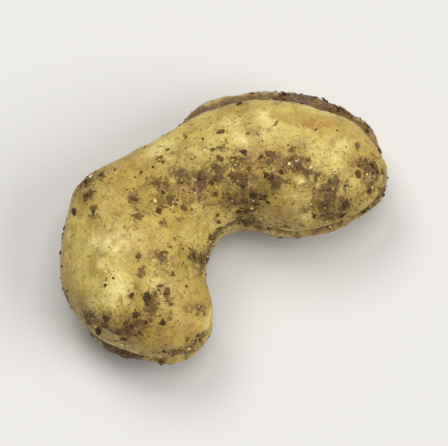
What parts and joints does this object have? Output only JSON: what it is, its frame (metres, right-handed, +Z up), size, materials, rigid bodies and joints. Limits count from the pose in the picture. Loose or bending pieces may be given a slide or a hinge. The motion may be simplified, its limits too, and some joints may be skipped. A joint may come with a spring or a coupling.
{
  "type": "roasted cashew nut",
  "caption": "Whole roasted cashew kernel, a curved seed with a seam round its side, seasoned with ground pepper, lying on its flattened side.",
  "frame": {"origin": "on the surface that the kernel lies on, under the middle of its box", "axes": "+X along the kernel's length towards its slim tip, with the fat lobe at -X; the inside of the bend opens towards -Y; +Z up, across its thickness"},
  "size_m": [0.0288, 0.0184, 0.0108],
  "materials": {
    "roasted_flesh": "satin, dull cream-yellow with a trace of oil",
    "seed_skin": "matte, thin purple-brown skin",
    "ground_pepper": "matte, crushed dark grains"
  },
  "bodies": {
    "root": {"cashew_kernel": "roasted_flesh"}
  },
  "joints": []
}
